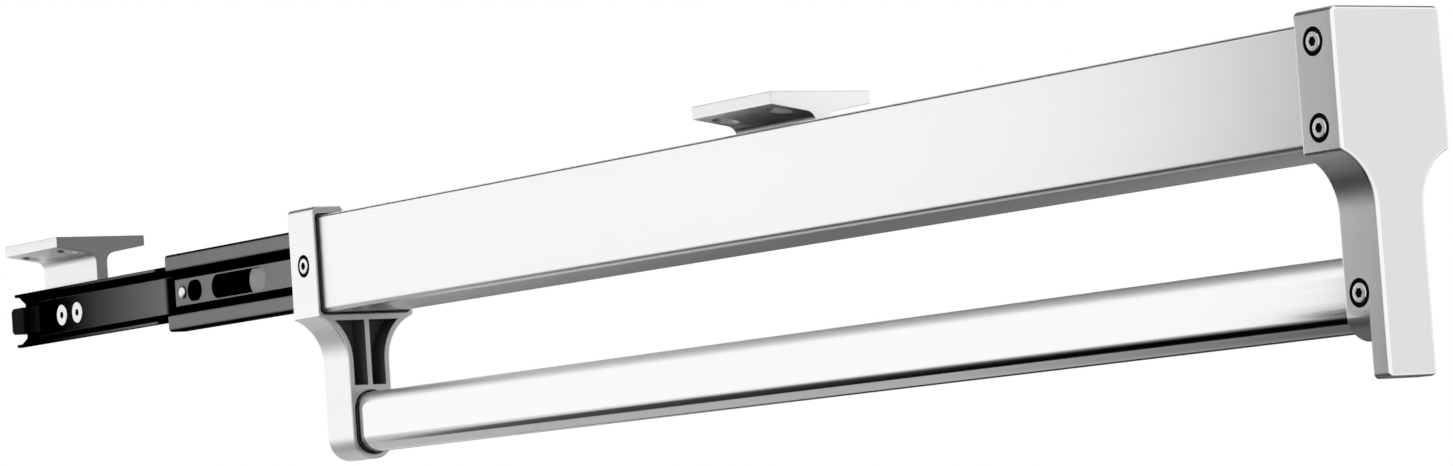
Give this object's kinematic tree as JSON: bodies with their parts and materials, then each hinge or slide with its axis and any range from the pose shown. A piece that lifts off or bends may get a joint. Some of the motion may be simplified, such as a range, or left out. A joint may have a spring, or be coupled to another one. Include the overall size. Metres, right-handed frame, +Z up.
{
  "type": "pull-out trouser rack",
  "caption": "Under-shelf pull-out hanging rail for trouser hangers: oval tube below a slotted aluminium housing with cast end brackets, running on a telescopic ball slide.",
  "frame": {"origin": "middle of the rear ceiling bracket's top face, which is screwed to the underside of the shelf", "axes": "+X is the pull-out direction, towards the front of the wardrobe; +Z is up, out of the top face; -Y is the long side with the screw heads"},
  "size_m": [0.7857, 0.0382, 0.1056],
  "materials": {
    "extruded_aluminium": "satin",
    "satin_aluminium": "satin anodised",
    "cast_aluminium": "satin",
    "bright_aluminium": "bright anodised",
    "black_steel": "satin black coat",
    "bare_steel": "zinc plated",
    "ball_steel": "polished",
    "black_plastic": "moulded",
    "black_rubber": "matt"
  },
  "bodies": {
    "ceiling_mount": {"rear_ceiling_bracket": "extruded_aluminium", "front_ceiling_bracket": "extruded_aluminium", "fixed_slide_rail": "black_steel", "rear_stop_buffer": "black_plastic", "rear_rail_screw_1": "bare_steel", "rear_rail_screw_2": "bare_steel", "front_rail_screw_1": "bare_steel", "front_rail_screw_2": "bare_steel"},
    "inner_cage": {"inner_ball_cage": "bare_steel", "inner_ball_upper_1": "ball_steel", "inner_ball_upper_2": "ball_steel", "inner_ball_upper_3": "ball_steel", "inner_ball_upper_4": "ball_steel", "inner_ball_upper_5": "ball_steel", "inner_ball_upper_6": "ball_steel", "inner_ball_lower_1": "ball_steel", "inner_ball_lower_2": "ball_steel", "inner_ball_lower_3": "ball_steel", "inner_ball_lower_4": "ball_steel", "inner_ball_lower_5": "ball_steel", "inner_ball_lower_6": "ball_steel"},
    "intermediate": {"intermediate_slide_rail": "black_steel", "intermediate_stop_rivet": "bare_steel"},
    "outer_cage": {"outer_cage_upper": "bare_steel", "outer_cage_lower": "bare_steel", "outer_ball_upper_1": "ball_steel", "outer_ball_upper_2": "ball_steel", "outer_ball_upper_3": "ball_steel", "outer_ball_upper_4": "ball_steel", "outer_ball_upper_5": "ball_steel", "outer_ball_upper_6": "ball_steel", "outer_ball_lower_1": "ball_steel", "outer_ball_lower_2": "ball_steel", "outer_ball_lower_3": "ball_steel", "outer_ball_lower_4": "ball_steel", "outer_ball_lower_5": "ball_steel", "outer_ball_lower_6": "ball_steel"},
    "carriage": {"housing_profile": "satin_aluminium", "rear_end_bracket": "cast_aluminium", "front_end_bracket": "cast_aluminium", "hanging_rail": "bright_aluminium", "front_ring_screw_upper": "bare_steel", "front_ring_screw_lower": "bare_steel", "rear_ring_screw": "bare_steel", "rail_clamp_screw": "bare_steel", "closing_buffer": "black_rubber"}
  },
  "joints": [
    {"name": "intermediate_slide", "type": "slide", "parent": "ceiling_mount", "child": "intermediate", "axis": [1, 0, 0], "range_m": [-0.119, 0.1]},
    {"name": "carriage_slide", "type": "slide", "parent": "intermediate", "child": "carriage", "axis": [1, 0, 0], "range_m": [-0.105, 0.114]},
    {"name": "inner_cage_slide", "type": "slide", "parent": "ceiling_mount", "child": "inner_cage", "axis": [1, 0, 0], "range_m": [-0.0595, 0.05]},
    {"name": "outer_cage_slide", "type": "slide", "parent": "intermediate", "child": "outer_cage", "axis": [1, 0, 0], "range_m": [-0.0525, 0.057]}
  ],
  "couplings": [
    {"joint": "inner_cage_slide", "follows": "intermediate_slide", "ratio": 0.5},
    {"joint": "outer_cage_slide", "follows": "carriage_slide", "ratio": 0.5}
  ]
}
